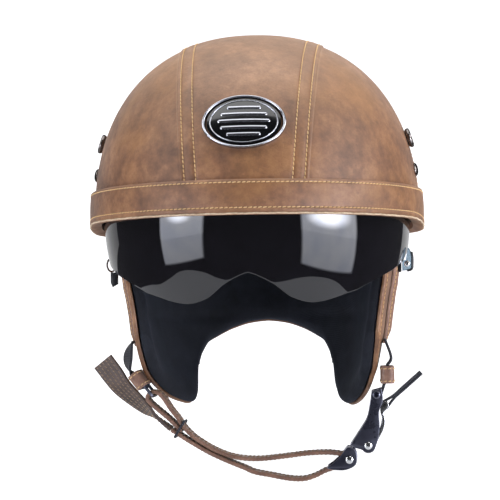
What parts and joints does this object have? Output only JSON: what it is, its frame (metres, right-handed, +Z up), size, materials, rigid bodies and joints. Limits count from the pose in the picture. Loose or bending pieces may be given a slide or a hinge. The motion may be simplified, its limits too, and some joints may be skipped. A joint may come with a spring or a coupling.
{
  "type": "open-face motorcycle helmet",
  "caption": "Leather-covered open-face helmet with drop-down smoked visor, padded ear flaps, nape curtain and a chin strap with quick-release buckle.",
  "frame": {"origin": "centre of the head opening in the plane of the rim, where a head carries the helmet", "axes": "+Z up through the crown, the face opening looks along -Y, +X is the wearer's left"},
  "size_m": [0.2456, 0.2893, 0.3263],
  "materials": {
    "leather": "pull-up leather, waxed, mottled brown",
    "strap_leather": "smooth stitched strap leather",
    "lining": "soft black brushed lining",
    "shell_plastic": "bare moulded shell",
    "foam": "moulded bead foam",
    "smoked_lens": "polished smoked plastic sheet",
    "clear_tab": "polished clear plastic",
    "black_plastic": "moulded black",
    "black_steel": "black coated steel sheet",
    "bright_steel": "bright plated steel",
    "gunmetal": "dark plated steel",
    "webbing": "flat woven black webbing",
    "enamel": "black enamel"
  },
  "bodies": {
    "helmet": {"badge_plate": "enamel", "badge_rim": "bright_steel", "brim_band": "leather", "brim_hem": "leather", "brow_pad": "lining", "cover_centre_strip": "leather", "cover_front_left": "leather", "cover_front_right": "leather", "cover_rear_left": "leather", "cover_rear_right": "leather", "crown_lining": "lining", "eps_liner": "foam", "nape_leather": "leather", "nape_lining": "lining", "outer_shell": "shell_plastic", "pivot_screw_left": "bright_steel", "pivot_screw_right": "bright_steel", "press_stud_left": "gunmetal", "press_stud_right": "gunmetal", "side_rivet_left": "gunmetal", "side_rivet_right": "gunmetal", "visor_bracket_left": "black_plastic", "visor_bracket_right": "black_plastic"},
    "visor": {"visor_lens": "smoked_lens", "visor_tab": "clear_tab", "tab_block": "black_plastic", "tab_screw": "bright_steel", "visor_stop": "black_plastic"},
    "flap_right": {"flap_leather_right": "leather", "flap_lining_right": "lining", "flap_patch_right": "strap_leather", "webbing_right": "webbing", "leather_loop_right": "strap_leather", "strap_ring": "black_steel", "ring_lug": "gunmetal"},
    "flap_left": {"flap_leather_left": "leather", "flap_lining_left": "lining", "flap_patch_left": "strap_leather", "webbing_left": "webbing", "leather_loop_left": "strap_leather"},
    "chin_strap": {"chin_strap": "strap_leather", "buckle_tongue": "black_steel", "tongue_rivet": "bright_steel", "strap_keeper": "webbing"},
    "strap_tail": {"strap_tail": "strap_leather"},
    "receiver": {"buckle_receiver": "black_steel", "lever_rivet": "bright_steel", "hanger_pin": "black_steel", "lever_spring": "bright_steel"},
    "release_lever": {"release_lever": "bright_steel", "lever_pin": "bright_steel"},
    "pull_ribbon": {"pull_ribbon": "webbing"},
    "side_ring": {"side_ring": "gunmetal"}
  },
  "joints": [
    {"name": "visor_raise", "type": "hinge", "parent": "helmet", "child": "visor", "pos_m": [0, 0, 0.008], "axis": [-1, 0, 0], "range_deg": [0, 30]},
    {"name": "strap_swing", "type": "hinge", "parent": "flap_right", "child": "chin_strap", "pos_m": [-0.07763, -0.01, -0.12676], "axis": [0, 1, 0], "range_deg": [0, 60]},
    {"name": "flap_right_flex", "type": "hinge", "parent": "helmet", "child": "flap_right", "pos_m": [-0.104, 0, 0], "axis": [0, 1, 0], "range_deg": [0, 6]},
    {"name": "flap_left_flex", "type": "hinge", "parent": "helmet", "child": "flap_left", "pos_m": [0.104, 0, 0], "axis": [0, -1, 0], "range_deg": [0, 6]},
    {"name": "receiver_swing", "type": "hinge", "parent": "flap_left", "child": "receiver", "pos_m": [0.08559, -0.01, -0.12745], "axis": [0, -1, 0], "range_deg": [0, 10.8]},
    {"name": "tail_swing", "type": "hinge", "parent": "chin_strap", "child": "strap_tail", "pos_m": [-0.06514, -0.01, -0.15137], "axis": [0, -1, 0], "range_deg": [0, 27]},
    {"name": "lever_pull", "type": "hinge", "parent": "receiver", "child": "release_lever", "pos_m": [0.07909, -0.01, -0.16416], "axis": [0, 1, 0], "range_deg": [0, 25], "stiffness_Nm_per_rad": 0.05, "springref_deg": -11.46},
    {"name": "ribbon_swing", "type": "hinge", "parent": "release_lever", "child": "pull_ribbon", "pos_m": [0.09129, -0.01, -0.13546], "axis": [0, 1, 0], "range_deg": [-5, 45]},
    {"name": "ring_swing", "type": "hinge", "parent": "flap_right", "child": "side_ring", "pos_m": [-0.10898, 0.01505, -0.0294], "axis": [0, 0, 1], "range_deg": [-20, 20]}
  ],
  "couplings": [
    {"joint": "flap_right_flex", "follows": "strap_swing", "ratio": 0.1},
    {"joint": "flap_left_flex", "follows": "strap_swing", "ratio": 0.1},
    {"joint": "receiver_swing", "follows": "strap_swing", "ratio": 0.18},
    {"joint": "tail_swing", "follows": "strap_swing", "ratio": 0.45}
  ]
}
